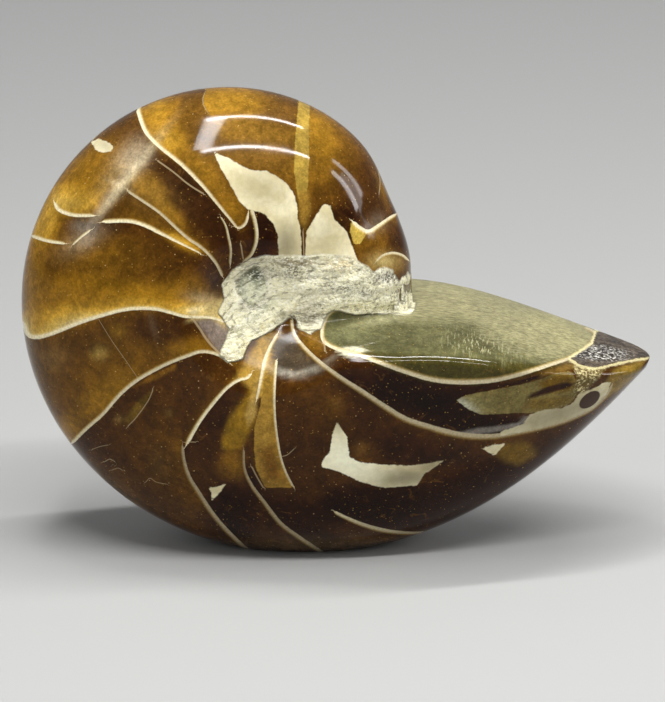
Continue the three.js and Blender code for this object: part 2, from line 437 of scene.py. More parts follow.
def within(outline):
    """Each spot's distance from an outline, positive inside, where a ray crosses an odd number of steps."""
    ring_line = np.array(outline + outline[:1], float)
    start, step = ring_line[:-1], np.diff(ring_line, axis=0)
    depth = np.full(len(spots), -LINE_REACH)
    close = ((spots > ring_line.min(0) - LINE_REACH) & (spots < ring_line.max(0) + LINE_REACH)).all(1)
    gap, _, out = gaps(spots[close], start, step)
    row_step = np.where(step[:, 1] == 0, NEARLY_ZERO, step[:, 1])
    spans = (out[..., 1] >= 0) != (out[..., 1] - step[:, 1] >= 0)
    crossed = spans & (out[..., 0] < out[..., 1] / row_step * step[:, 0])
    depth[close] = gap.min(1) * np.where(crossed.sum(1) % 2 == 1, 1, -1)
    return depth


def pool(column, row, across, down, tilt):
    """A soft spot: exp(-(u^2 + v^2)), with u and v the offsets over the reaches, turned clockwise by tilt."""
    turn_by = math.radians(tilt)
    right, below = spots[:, 0] - column, spots[:, 1] - row
    u = (right * math.cos(turn_by) + below * math.sin(turn_by)) / across
    v = (below * math.cos(turn_by) - right * math.sin(turn_by)) / down
    return np.exp(-(u**2 + v**2))


def tone(red, green, blue):
    """A colour as a screen shows it, each part from 0 to 255, turned into the light it stands for by the
    standard curve of screens: straight near black, and a power of 2.4 above."""
    on_screen = np.array([red, green, blue]) / 255
    return np.where(on_screen <= 0.04045, on_screen / 12.92, ((on_screen + 0.055) / 1.055) ** 2.4)


def laid_over(base, colour, cover):
    """One colour over another at each spot: base * (1 - cover) + colour * cover."""
    cover = cover[:, None]
    return base * (1 - cover) + colour * cover


# Brown calcite fills the chambers. It is clear, so its colour changes with what lies below: nearly black
# where it is deep, amber and honey where a wall or a cloud throws the light back. Level 0 is black and 1 is
# pale honey. Each pool is a soft spot and its level. Between pools the level is their mean, weighed by
# nearness, and far from all of them it is EVEN_LEVEL.
CALCITE_LEVELS = [0.0, 0.15, 0.3, 0.45, 0.6, 0.75, 0.88, 1.0]
CALCITE_TONES = [
    tone(14, 4, 1), tone(42, 18, 4), tone(70, 41, 8), tone(104, 70, 14),
    tone(142, 102, 22), tone(180, 138, 44), tone(202, 170, 86), tone(228, 210, 160),
]
EVEN_LEVEL, EVEN_SHARE = 0.3, 0.12
CALCITE_POOLS = {
    "back_top": (128, 120, 18, 12, -35, 0.36),
    "back_upper": (104, 160, 22, 16, -40, 0.52),
    "back_middle": (84, 176, 16, 20, 30, 0.60),
    "back_low": (72, 198, 18, 12, 0, 0.84),
    "back_edge": (42, 220, 12, 22, 20, 0.80),
    "under_step": (84, 227, 12, 8, 0, 0.35),
    "left_upper": (100, 255, 45, 14, 0, 0.50),
    "left_edge": (33, 275, 8, 40, 0, 0.58),
    "left_middle": (80, 290, 40, 14, 0, 0.54),
    "left_low": (60, 318, 30, 12, -15, 0.72),
    "left_low_right": (130, 298, 45, 12, 0, 0.52),
    "left_right": (190, 290, 20, 12, 0, 0.50),
    "left_right_pale": (202, 309, 18, 6, 5, 0.88),
    "left_dark_hub": (213, 268, 10, 16, -20, 0.28),
    "left_upper_right": (160, 256, 30, 12, 15, 0.34),
    "gore": (146, 212, 24, 9, 30, 0.40),
    "gore_low": (182, 243, 16, 5, 30, 0.74),
    "upper_dark": (200, 208, 16, 24, -30, 0.18),
    "upper_dark_tip": (178, 180, 16, 8, 38, 0.18),
    "upper_olive": (146, 185, 18, 9, 35, 0.54),
    "upper_olive_low": (170, 212, 18, 6, 42, 0.54),
    "hub_dark": (222, 245, 10, 18, -15, 0.14),
    "hub_dark_right": (263, 230, 12, 18, 0, 0.06),
    "crown_left": (158, 108, 20, 12, 0, 0.66),
    "crown_left_low": (168, 136, 16, 10, 40, 0.66),
    "crown_brown": (186, 104, 14, 12, 0, 0.44),
    "crown_fold": (206, 172, 9, 26, -35, 0.52),
    "crown_fold_low": (233, 206, 8, 14, -30, 0.48),
    "crest_gold": (232, 103, 30, 12, 0, 0.62),
    "crest_brown": (282, 110, 16, 14, 10, 0.37),
    "between_lines": (255, 132, 40, 10, 5, 0.53),
    "below_lines": (256, 160, 34, 8, 8, 0.46),
    "below_lines_right": (286, 168, 12, 14, 0, 0.47),
    "orange": (320, 134, 13, 24, -15, 0.62),
    "orange_low": (313, 172, 14, 16, 0, 0.50),
    "shoulder_brown": (346, 145, 12, 26, -35, 0.48),
    "shoulder_dark": (364, 168, 10, 26, -30, 0.26),
    "shoulder_low": (320, 196, 14, 10, 0, 0.36),
    "shoulder_lowest": (343, 222, 10, 12, -20, 0.14),
    "shoulder_edge": (384, 190, 4, 22, -20, 0.60),
    "shoulder_end": (394, 205, 7, 12, -20, 0.24),
    "seam_left": (372, 243, 14, 12, 0, 0.44),
    "seam_right": (398, 240, 9, 14, 0, 0.22),
    "seam_gold": (386, 262, 14, 9, 0, 0.64),
    "second_top": (90, 334, 36, 8, -15, 0.40),
    "second_left": (50, 352, 18, 16, 0, 0.44),
    "second_dark": (172, 330, 32, 10, 0, 0.26),
    "second_middle": (105, 368, 36, 14, -30, 0.44),
    "second_amber": (98, 398, 28, 12, -42, 0.54),
    "second_gold": (68, 428, 10, 10, 0, 0.58),
    "second_right": (190, 344, 18, 7, -10, 0.47),
    "second_low_left": (46, 388, 12, 22, 0, 0.44),
    "third_top": (165, 388, 24, 10, -30, 0.32),
    "third_middle": (138, 432, 34, 26, 0, 0.32),
    "third_left": (98, 444, 16, 26, -40, 0.28),
    "third_right": (184, 420, 10, 30, 15, 0.25),
    "third_low": (186, 492, 24, 22, 0, 0.31),
    "third_edge": (110, 484, 20, 14, 40, 0.34),
    "fourth_dark": (213, 432, 10, 30, 15, 0.20),
    "fourth_haze": (234, 468, 12, 12, 0, 0.50),
    "fourth_low": (232, 508, 20, 22, 0, 0.06),
    "fifth_low": (290, 520, 30, 14, 20, 0.14),
    "fifth_dark": (250, 480, 5, 18, -15, 0.08),
    "centre_top": (300, 388, 24, 14, 0, 0.31),
    "centre_middle": (322, 408, 24, 18, 0, 0.33),
    "centre_gold": (336, 403, 8, 7, 0, 0.42),
    "centre_left": (305, 446, 18, 34, 0, 0.24),
    "centre_crook": (366, 450, 12, 9, 0, 0.36),
    "centre_right": (410, 448, 50, 12, 8, 0.14),
    "centre_low": (380, 506, 60, 14, 0, 0.05),
    "centre_upper_right": (360, 410, 24, 10, 35, 0.16),
    "belly": (470, 486, 44, 14, -20, 0.10),
    "belly_tip": (560, 446, 40, 12, -38, 0.16),
    "faint_streak": (308, 492, 14, 8, 35, 0.30),
    "wedge": (310, 340, 8, 12, -20, 0.54),
    "black_left": (366, 374, 16, 6, 25, 0.20),
    "black": (420, 398, 50, 14, 15, 0.00),
    "black_end": (480, 424, 30, 6, 0, 0.02),
    "under_green": (470, 388, 50, 4, 0, 0.14),
}
weight = np.full(len(spots), EVEN_SHARE)
level = weight * EVEN_LEVEL
for *where, pool_level in CALCITE_POOLS.values():
    soft = pool(*where)
    weight += soft
    level += soft * pool_level
level /= weight

# The walls between the chambers are thin sheets of cream shell. Each glows through the calcite on one side
# and shades it on the other. A wall is a path, its half width at the start, middle and end, its paleness at
# the start and end, and its glow: the side (1 is right of the path), the strength and the reach of glow and
# of shade. Where two walls run close, one is of the second family, so that each keeps marks of its own.
WALLS = {
    "first": (
        [(23, 322), (28, 334), (37, 337), (53, 333), (78, 323), (103, 315), (128, 309), (153, 308.6),
         (169, 312), (186, 316.5), (211, 317.5), (231, 324)],
        (2.4, 1.8, 1.3), (1, 0.85), (-1, 0.40, 10, 0.08, 14),
    ),
    "second": (
        [(71, 444), (86, 429), (103, 414), (119.5, 395), (136, 381), (153, 371), (169, 363), (186, 356.4),
         (202, 351.5), (219, 355), (230, 364)],
        (1.5, 1.6, 1.4), (0.8, 0.5), (-1, 0.14, 14, 0.10, 18),
    ),
    "third_bright": (
        [(252, 372), (247, 378), (239, 380), (227, 388), (212.4, 404.5), (199, 422.7), (186, 446)],
        (1.3, 1.4, 1.6), (0.75, 1), (1, 0.14, 10, 0.06, 8),
    ),
    "third_dim": (
        [(182.5, 445), (184, 459), (189, 476), (199, 492.4), (210.7, 510.6), (224, 527), (241, 544),
         (256, 556)],
        (1.2, 1.7, 1.6), (0.2, 0.35), (1, 0.10, 14, 0.06, 12),
    ),
    "fourth": (
        [(243.8, 448), (244.5, 468), (251.4, 484.6), (265, 503), (280.5, 523), (299, 537), (317, 549),
         (330, 558)],
        (0.9, 1.6, 1.6), (0.15, 0.35), (1, 0.08, 10, 0.04, 10),
    ),
    "gold_fork_edge": (
        [(276.5, 360), (275.5, 372), (274.3, 400), (276, 428), (280.5, 456), (286.6, 474), (294, 488)],
        (1.3, 1.0, 1.0), (0.85, 0.45), (1, 0.0, 8, 0.06, 10),
    ),
    "column_line": (
        [(278, 333), (271, 345), (266, 357), (263, 369), (259, 389), (256, 402)],
        (1.2, 1.8, 1.0), (0.9, 0.7), (-1, 0.0, 8, 0.0, 8),
    ),
    "seam_arc": (
        [(376, 262), (382, 256), (392, 253), (402, 255), (409, 261)],
        (1.0, 1.2, 1.0), (0.6, 0.8), (1, 0.0, 8, 0.0, 8),
    ),
    "belly_line": (
        [(334, 511.4), (348, 518.3), (367.8, 526), (391, 531.3), (414, 532.8), (431, 531)],
        (1.2, 1.7, 0.8), (0.75, 0.3), (1, 0.03, 10, 0.04, 10),
    ),
    "long": (
        [(291.5, 316), (294, 333), (305, 348), (322, 363.7), (343, 379), (360, 389.7), (383, 405),
         (406, 418.8), (429, 426.4), (452, 432.8), (474, 436), (496, 435.7), (518, 432), (540, 427.6),
         (562, 421.8), (577, 416), (592, 408.5), (606, 395.5), (613, 384)],
        (1.3, 2.4, 1.2), (0.5, 0.3), (1, 0.05, 12, 0.05, 6),
    ),
    "green_rim": (
        [(341, 309), (331, 311.7), (325, 320), (322, 331), (324.5, 342), (340.5, 350.3), (357, 354),
         (378, 362), (406, 372), (430, 379.2), (452, 382), (474, 382), (496, 380), (518, 374.8),
         (540, 368), (555, 363), (569.5, 358), (584, 350), (593, 341), (596, 334.5), (591.5, 330),
         (583, 327)],
        (1.2, 2.2, 1.0), (0.8, 0.45), (-1, 0.0, 6, 0.0, 6),
    ),
    "crest_edge": (
        [(206, 91), (203, 98), (204, 106), (209, 114)], (0.3, 0.5, 0.3), (0.1, 0.1), (-1, 0.10, 18, 0.14, 12),
    ),
    "crown_left": (
        [(137.5, 104), (139, 114), (146, 132), (160, 147), (181, 164), (201, 184), (216, 202), (230, 219),
         (237, 228)],
        (1.9, 1.7, 1.0), (1, 0.5), (-1, 0.14, 12, 0.05, 10),
    ),
    "crown_hook": (
        [(235, 227), (240, 228), (246, 223), (249, 211)], (0.9, 1.3, 1.0), (0.55, 0.7), (-1, 0.0, 6, 0.0, 6),
    ),
    "upper_third": (
        [(126, 190), (142, 200.5), (160, 213), (174, 226), (188, 238.5), (202, 248), (215, 262), (223, 277)],
        (1.2, 1.3, 1.2), (0.45, 0.5), (-1, 0.08, 10, 0.06, 8),
    ),
    "upper_fourth": (
        [(101, 222), (118, 221), (132, 221.6), (146, 226), (160, 233), (174, 240), (188, 247), (203, 254.5)],
        (1.6, 1.7, 0.6), (1, 0.8), (-1, 0.16, 8, 0.06, 16),
    ),
    "step_edge": ([(31, 235.5), (48, 241), (66, 243.6)], (1.7, 1.5, 1.2), (0.9, 1), (-1, 0.08, 8, 0.0, 8)),
    "step_upper": (
        [(54.5, 202), (58, 209), (66, 213), (76, 215.4), (96, 215.4)],
        (1.6, 1.8, 1.4), (1, 0.8), (-1, 0.10, 10, 0.0, 8),
    ),
    "step_corner": ([(72, 245.5), (80, 238), (92, 229)], (0.8, 0.9, 1.0), (0.8, 0.9), (-1, 0.0, 8, 0.0, 8)),
    "hub_left": (
        [(220.5, 216), (226, 226), (229, 238.5), (231, 250), (230, 266)],
        (0.6, 1.0, 1.0), (0.4, 0.45), (1, 0.0, 6, 0.0, 6),
    ),
    "hub_right": (
        [(251, 208), (255.5, 222), (257, 238.5), (252, 254), (243, 262)],
        (1.6, 1.4, 1.0), (0.6, 0.5), (1, 0.0, 6, 0.0, 6),
    ),
    "seam_wall": (
        [(352, 221), (360, 228), (368.5, 231.5), (378, 226), (388, 219), (397, 213.5)],
        (1.8, 1.8, 1.2), (1, 0.85), (1, 0.12, 10, 0.08, 8),
    ),
}
FAMILIES = "wall", "second"
SECOND_FAMILY = (
    "third_dim", "column_line", "green_rim", "upper_third", "step_upper", "step_corner", "hub_left",
    "crown_hook",
)
END_TAPER = 4
NO_WALL = 50.0
wall_side = np.full((2, len(spots)), NO_WALL)
wall_near = np.full((2, len(spots)), NO_WALL)
wall_pale = np.zeros((2, len(spots)))
for name, (path, half_widths, paleness, (glow_side, glow, glow_reach, shade, shade_reach)) in WALLS.items():
    family = int(name in SECOND_FAMILY)
    away, passed = beside(path)
    away = away * glow_side
    length = np.hypot(*np.diff(path, axis=0).T).sum()
    taper = smoothstep(length * np.minimum(passed, 1 - passed), -END_TAPER / 2, END_TAPER)
    half_width = np.interp(passed, [0, 0.5, 1], half_widths) * taper
    clearance = np.abs(away) - half_width
    nearer = clearance < wall_near[family]
    wall_side[family] = np.where(nearer, away / half_width, wall_side[family])
    wall_near[family] = np.where(nearer, clearance, wall_near[family])
    wall_pale[family] = np.where(nearer, np.interp(passed, [0, 1], paleness), wall_pale[family])
    level += glow * (away > 0) * np.exp(-np.abs(away) / glow_reach)
    level -= shade * (away <= 0) * np.exp(-np.abs(away) / shade_reach)
level = np.clip(level, 0, 1)
stone_colour = np.stack(
    [np.interp(level, CALCITE_LEVELS, channel) for channel in np.array(CALCITE_TONES).T], axis=1
)

# Hairline cracks and flake edges are thin dim lines. Each is a path and its half width.
HAIRLINES = {
    "first_branch": ([(192, 318), (200, 329), (207, 340), (217, 351), (228, 361)], 1.1),
    "green_rim_foot": ([(323.5, 338), (325, 350)], 0.9),
    "crown_thin": ([(158, 161), (174, 172.5), (188, 184), (202, 193)], 0.8),
    "hub_twig": ([(241, 245), (243, 258)], 0.7),
    "shoulder_flake": ([(368, 150), (376, 164), (380, 180), (379, 194)], 0.5),
    "third_tick": ([(186, 442), (195, 442)], 0.5),
    "small_flake": ([(153, 389.6), (148, 401), (136, 417.7), (128, 426)], 0.5),
    "long_scratch": ([(99, 320), (112, 341), (124, 358), (137, 377)], 0.25),
    "edge_scratch": ([(92, 449.5), (100, 446.5), (108, 445)], 0.3),
    "edge_scratch_low": ([(104, 462), (110, 459), (113, 461)], 0.4),
    "edge_scratch_lowest": ([(112, 470), (118, 468), (122, 470)], 0.3),
    "fork_tick": ([(252, 467), (257, 477), (263, 487)], 0.7),
    "centre_scratch": ([(279, 457), (287, 455), (294, 449)], 0.4),
    "lower_scratch": ([(146, 482), (150, 478), (156, 482), (166, 484)], 0.3),
    "wedge_crack": ([(303, 232), (303.6, 244), (304, 257)], 0.6),
}
hair_side = np.full(len(spots), NO_WALL)
hair_near = np.full(len(spots), NO_WALL)
for path, half_width in HAIRLINES.values():
    away, _ = beside(path)
    clearance = np.abs(away) - half_width
    nearer = clearance < hair_near
    hair_side = np.where(nearer, away / half_width, hair_side)
    hair_near = np.where(nearer, clearance, hair_near)

# Patches with an edge of their own inside the calcite: gold and olive fillings, smoky and glassy ones, and
# the green filling of the mouth with its dark near part. Each is an outline, a colour and the softness of its
# edge. The crisp ones are coloured past their outlines in a colour of their own, which the nodes show inside
# them only.
PATCHES = {
    "gold_column": (
        [(262, 332), (281, 332), (274, 350), (268, 366), (263, 385), (256, 402), (249, 389), (240, 380),
         (231, 384), (243, 364), (252, 350)],
        tone(164, 128, 52), 5,
    ),
    "column_light": ([(266, 360), (275.5, 360), (274, 400), (258, 396), (262, 376)], tone(166, 130, 52), 2),
    "gold_drop": (
        [(264, 368), (261, 384), (256, 399), (257, 419), (250, 434), (242, 448), (230, 452), (221, 449),
         (222, 436), (227, 419), (237, 406), (250, 389)],
        tone(134, 100, 20), 5,
    ),
    "gold_drop_light": (
        [(262, 372), (257, 395), (257, 415), (248, 428), (244, 415), (250, 398), (254, 380)],
        tone(172, 140, 70), 4,
    ),
    "gold_fork": (
        [(265, 373), (261, 403), (254.5, 428), (254, 449), (256, 468), (265, 487.5), (294, 487.5), (287, 474),
         (281, 457), (276.5, 430), (274.4, 406), (276, 371)],
        tone(146, 112, 42), 2,
    ),
    "gold_fork_low": ([(258, 450), (264, 482), (288, 484), (280, 460), (274, 440)], tone(110, 74, 18), 9),
    "gold_band": (
        [(299, 98), (310, 104), (309, 130), (309, 160), (308, 185), (304, 206), (298, 198), (294, 170),
         (295, 140), (297, 118)],
        tone(152, 124, 50), 3,
    ),
    "gold_band_low": ([(297, 190), (309, 190), (312, 210), (305, 233), (299, 222)], tone(130, 98, 34), 4),
    "flake_olive": (
        [(153, 389), (136, 402), (124, 420), (128, 426), (137, 417), (148, 401)], tone(96, 72, 20), 3,
    ),
    "second_sliver": ([(130, 389), (150, 375), (176, 363), (176, 369), (154, 381)], tone(112, 74, 16), 2),
    "glassy": (
        [(193, 318), (212, 318), (230, 326), (231, 345), (228, 360), (214, 348)], tone(122, 108, 96), 3,
    ),
    "calcite": (
        [(268, 338), (292, 334), (305, 350), (322, 366), (322, 376), (278, 374), (272, 356)],
        tone(72, 60, 44), 5,
    ),
    "green_fill": (
        [(341, 309), (331, 312), (325, 320), (322, 331), (324.5, 342), (340.5, 350), (357, 354), (378, 362),
         (406, 372), (430, 379), (452, 382), (474, 382), (496, 380), (518, 375), (540, 368), (555, 363),
         (569.5, 358), (584, 350), (593, 341), (596, 334), (640, 330), (560, 270), (412, 268), (408, 284),
         (404, 300)],
        tone(88, 86, 54), 1,
    ),
    "green_light": (
        [(404, 300), (412, 316), (455, 316), (482, 326), (510, 342), (540, 356), (569, 358), (584, 350),
         (593, 341), (596, 334), (620, 334), (600, 290), (500, 250), (412, 268), (408, 284)],
        tone(132, 127, 92), 9,
    ),
    "green_strip": (
        [(345, 349), (380, 352), (420, 354), (480, 358), (540, 364), (575, 362), (540, 372), (518, 378),
         (474, 386), (430, 383), (378, 366)],
        tone(66, 60, 24), 3,
    ),
    "olive": (
        [(456.4, 400), (467, 395), (496, 389.5), (518, 385), (538.5, 380), (555, 373), (571, 371), (577, 382),
         (577, 394), (571, 403), (559, 408.5), (533, 413), (512, 413), (496, 414.4), (480, 414.4),
         (467, 408.5)],
        tone(113, 101, 56), 1,
    ),
    "olive_gold": (
        [(536, 382), (555, 373), (571, 372), (577, 382), (572, 392), (545, 396)], tone(100, 74, 16), 5,
    ),
    "olive_low_gold": ([(528, 398), (572, 394), (572, 403), (548, 410), (528, 411)], tone(104, 84, 34), 4),
    "rim_gold": (
        [(526, 380), (545, 371.5), (566, 364), (580, 363), (585, 368), (570, 370), (548, 375), (532, 381)],
        tone(112, 86, 36), 2,
    ),
    "brown_streak": (
        [(526, 399), (534, 392), (548, 386), (560, 383), (572, 382), (574, 386), (562, 390), (548, 394),
         (534, 398)],
        tone(42, 20, 6), 1.5,
    ),
    "brown_streak_upper": ([(506, 386), (522, 379), (541, 374), (537, 379), (522, 384)], tone(38, 18, 6), 1),
    "smoke": (
        [(455, 433), (474, 428), (496, 426), (518, 422.5), (524, 415), (530, 416), (526, 425), (510, 430),
         (486, 434), (466, 436)],
        tone(112, 106, 98), 2,
    ),
    "belly_gold": (
        [(494, 455), (504, 443), (524, 440), (538, 448), (536, 457), (518, 467), (506, 464)],
        tone(104, 78, 22), 5,
    ),
    "tip_side": (
        [(606, 380), (613, 369), (636, 361), (647, 358), (641, 371), (627, 386), (607, 399), (600, 396)],
        tone(118, 94, 34), 3,
    ),
    "seam_gold": (
        [(351, 222), (361, 230), (367, 233), (360, 244), (354, 244), (350, 232)], tone(190, 160, 70), 3,
    ),
    # The cream knot, with a painted highlight on it where the crease's highlight line begins.
    "knot_and_highlight": (
        [(337, 350), (344, 347), (352, 346), (362, 347), (369, 351), (357, 354), (353, 358), (345, 357)],
        tone(226, 220, 186), 2,
    ),
    "left_rind": ([(186, 322), (200, 306), (226, 296), (228, 330), (212, 318)], tone(206, 180, 112), 6),
}
CRISP = "green_fill", "olive", "gold_fork", "gold_band", "seam_gold"
CRISP_MARGIN = -7, -4
filling_colour = stone_colour
filling = np.full(len(spots), -LINE_REACH)
for name, (outline, colour, softness) in PATCHES.items():
    depth = within(outline)
    if name in CRISP:
        filling = np.maximum(filling, depth)
        cover = smoothstep(depth, *CRISP_MARGIN)
    else:
        cover = smoothstep(depth, -softness / 2, softness)
        stone_colour = laid_over(stone_colour, colour, cover)
    filling_colour = laid_over(filling_colour, colour, cover)

# Milky films and small clouds lie in the calcite. Some films are painted light instead: a painted
# reflection of the lamps as a haze on the upper left, a painted highlight in the hollow below the hub,
# and painted reflections of the pale table and room along the lower and left edges. Each is a soft
# spot, a colour and a strength. The inner ones lie in a crisp patch and stop at its edge.
FILMS = {
    # A painted reflection of the lamps, laid on as a milky haze on the upper left.
    "lamp_reflection_band": (126, 180, 4.5, 46, 38, tone(232, 216, 172), 0.65),
    "lamp_reflection_quad": (131, 159, 13, 21, 38, tone(184, 168, 138), 0.62),
    "lamp_reflection_quad_end": (119, 185, 11, 2.4, 28, tone(226, 208, 168), 0.5),
    "lamp_reflection_side": (108, 186, 10, 26, 38, tone(176, 148, 88), 0.35),
    "lamp_reflection_foot": (84, 240, 22, 10, -30, tone(160, 142, 112), 0.5),
    # A painted reflection of the pale room along the left edge.
    "left_edge_reflection": (26, 345, 8, 60, 0, tone(120, 110, 90), 0.35),
    "under_step_grey": (82, 226, 10, 8, 0, tone(120, 108, 92), 0.8),
    "faint_scratch": (153, 326, 3, 14, -16, tone(104, 84, 58), 0.5),
    "second_haze": (52, 358, 16, 14, 0, tone(112, 90, 56), 0.35),
    "second_cloud": (99.6, 353, 8, 7, 0, tone(150, 124, 60), 0.7),
    "second_cloud_upper": (118, 331, 9, 7, 0, tone(128, 94, 24), 0.6),
    "third_cloud": (119, 419, 5, 4, 0, tone(120, 94, 44), 0.6),
    "third_cloud_right": (169, 413, 4, 4, 0, tone(110, 84, 36), 0.6),
    "third_cloud_low": (160, 465, 10, 16, -20, tone(92, 66, 28), 0.5),
    "centre_cloud": (361, 448, 7, 6, 0, tone(112, 78, 30), 0.6),
    "centre_cloud_left": (336, 403, 5, 5, 0, tone(120, 84, 30), 0.6),
    "hub_smoke": (214, 282, 8, 14, -15, tone(60, 48, 44), 0.6),
    "hub_pale": (204, 300, 16, 7, 10, tone(190, 172, 130), 0.5),
    # Painted reflections of the pale table along the lower edge.
    "belly_edge_reflection": (330, 546, 130, 8, 0, tone(100, 84, 64), 0.55),
    "belly_edge_reflection_left": (120, 500, 66, 9, 40, tone(116, 98, 70), 0.6),
    "belly_edge_reflection_right": (560, 462, 70, 7, -36, tone(74, 52, 22), 0.4),
    "olive_pale": (476, 404, 16, 8, 10, tone(138, 130, 86), 0.5),
    "green_sheen": (352, 334, 30, 12, 0, tone(104, 104, 72), 0.6),
    # A painted highlight: the lamps' reflection in the hollow below the hub, in three arcs.
    "hub_highlight": (284, 372.5, 15, 3.5, 12, tone(206, 198, 178), 0.6),
    "hub_highlight_right": (309, 371, 14, 3, -16, tone(190, 182, 162), 0.5),
    "hub_highlight_end": (330, 360, 13, 2.5, -34, tone(150, 140, 118), 0.45),
    "green_film": (385, 318, 26, 5, -12, tone(176, 172, 132), 0.6),
    "tip_brown": (608, 337, 14, 4, 20, tone(80, 66, 48), 0.7),
    "crown_veil": (250, 135, 70, 46, 0, tone(160, 144, 96), 0.07),
    "upper_veil": (150, 192, 34, 18, 35, tone(160, 142, 92), 0.09),
    "olive_rim": (465, 405, 14, 4, 36, tone(204, 204, 176), 0.85),
    "seam_green": (384, 262, 14, 8, 0, tone(186, 172, 118), 0.6),
    "seam_haze": (378, 222, 8, 9, -20, tone(150, 134, 112), 0.35),
    "tip_face": (562, 333, 26, 14, 20, tone(158, 152, 108), 0.7),
}
INNER_FILMS = "olive_pale", "olive_rim"
for name, (*where, colour, strength) in FILMS.items():
    cover = strength * pool(*where)
    if name not in INNER_FILMS:
        stone_colour = laid_over(stone_colour, colour, cover)
    filling_colour = laid_over(filling_colour, colour, cover)

# Cream flakes of shell are cut flush with the surface. Painted shade makes them darker and browner
# where they face away from the light, in soft spots each with a strength.
CREAM_FLAKES = {
    "crown": [
        (214, 152), (228, 158), (239.3, 164.5), (250.5, 170), (267, 171), (284, 181), (292.6, 191),
        (297, 203.5), (298, 220), (301, 231.5), (301.7, 258), (278.6, 258), (278, 234), (273, 223),
        (263, 213), (247.7, 209), (239, 200.7), (228, 181), (218, 163),
    ],
    "spire": [
        (323.5, 204), (330.5, 206), (334.7, 220), (347, 231.5), (352, 246), (359, 264), (326, 262),
        (305, 257), (306.6, 231.5), (316.5, 215),
    ],
    "boomerang": [
        (337, 420), (341.7, 429.5), (347, 437), (349.4, 457), (360, 462.4), (383, 464.7), (406, 465.5),
        (426, 464), (445, 460), (424.4, 474), (416.7, 485.4), (383, 487.7), (360, 481.5), (337, 470.8),
        (321.8, 467), (322.6, 460), (329.5, 452.5), (332.6, 434),
    ],
    "chip": [(208.5, 487), (216, 487.5), (226, 483.5), (221, 491), (212, 500.5), (211.5, 492.4)],
    "lip": [
        (500, 432), (524, 424), (528, 416), (541.5, 410.5), (562, 408), (572, 404), (577, 397), (579, 393),
        (590, 390), (598.7, 386), (604.5, 382), (611, 382), (606, 395), (592, 409), (577, 416), (562, 422),
        (540, 428), (518, 432.5), (500, 436),
    ],
    "wedge": [(481.3, 448), (493, 445), (506.3, 443.5), (500, 449), (494.5, 456)],
    "oval": [(91, 142), (98, 139), (106, 141), (113, 146), (112, 151), (104, 153), (96, 150)],
}
cream = np.max([within(outline) for outline in CREAM_FLAKES.values()], axis=0)
# Painted shade on the cream flakes.
PAINTED_CREAM_SHADES = {
    "crown": (265, 186, 36, 26, 20, 0.46),
    "spire": (325, 232, 20, 26, 0, 0.30),
    "boomerang_right": (404, 478, 34, 9, -5, 0.85),
    "boomerang_end": (430, 466, 16, 8, -20, 0.65),
    "boomerang_tip": (339, 426, 4, 8, 0, 0.4),
    "crown_foot": (286, 243, 14, 24, 0, 0.74),
    "crown_fold": (262, 205, 12, 6, 30, 0.30),
    "lip": (556, 414, 70, 16, -18, 0.74),
    "lip_upper": (594, 390, 10, 12, 0, 0.25),
    "wedge": (492, 449, 10, 6, 0, 0.20),
    "oval": (106, 146, 9, 7, 0, 0.45),
}
painted_cream_shade = np.max([strength * pool(*where) for *where, strength in PAINTED_CREAM_SHADES.values()], axis=0)

# The other stuffs that need a texture of their own: the rough ledge with its round plug and its pale slab,
# the crystal and the gold grains of the tip, and the fibres of the green filling.
STUFFS = {
    "rough": [
        (221, 284), (228, 276), (236, 266), (252, 258.5), (266, 255.6), (301, 256), (326, 255), (350, 256),
        (358, 262), (368, 266), (374, 271), (384, 267), (393, 270), (397, 278), (399, 281), (404, 276),
        (408, 272), (411, 276), (413.5, 292), (416.5, 306), (411, 314), (385, 314), (357, 315), (342, 312),
        (332, 311), (325, 318), (321, 328), (309, 335), (298, 328), (294, 314), (286, 321), (264, 335),
        (251, 341), (246, 349), (243, 359), (228, 363), (218, 356), (223, 344), (229, 330), (219, 312),
        (224, 298),
    ],
    "plug": [
        (255, 266.5), (262, 272), (266.5, 281), (268, 292), (262, 301), (252, 308), (244, 303), (238, 293),
        (237.5, 282), (243, 273),
    ],
    "slab": [(257.7, 326.5), (262, 332), (277, 320), (294, 311.7), (301, 296), (294, 299), (283, 310)],
    "crystal": [
        (571, 358.7), (593, 344), (597, 331), (620, 334), (648, 350), (652, 356), (636, 358.5), (621, 361.5),
        (606, 365), (594, 367.5), (587, 366), (580, 364.5),
    ],
    "tip_grains": [
        (573, 364), (584, 367), (600, 366), (606, 368), (600, 376), (592, 384), (583, 393), (574, 392),
        (578, 378),
    ],
    "fibre": [
        (404, 300), (400, 322), (470, 324), (484, 338), (506, 352), (545, 362), (572, 360), (586, 350),
        (594, 341), (596, 330), (560, 290), (480, 260), (412, 268), (408, 284),
    ],
}
depths = {name: within(outline) for name, outline in STUFFS.items()}

# Soft spots that the nodes read: the painted light on the largest flake, the hole in the flake at the lip,
# the pale flecks and painted glints of the crystal, the upright strokes on the green filling, and the
# duller polish in the hollow by the hub.
SOFT_SPOTS = {
    "painted_cream_light": (346, 458, 34, 22, 10),
    "lip_hole": (589.6, 399.7, 12, 6.5, -38),
    "crystal_flecks_and_glints": (599, 353, 30, 7.5, 4),
    "strokes": (480, 346, 34, 12, 12),
    "hub_dull": (262, 348, 22, 20, 0),
}
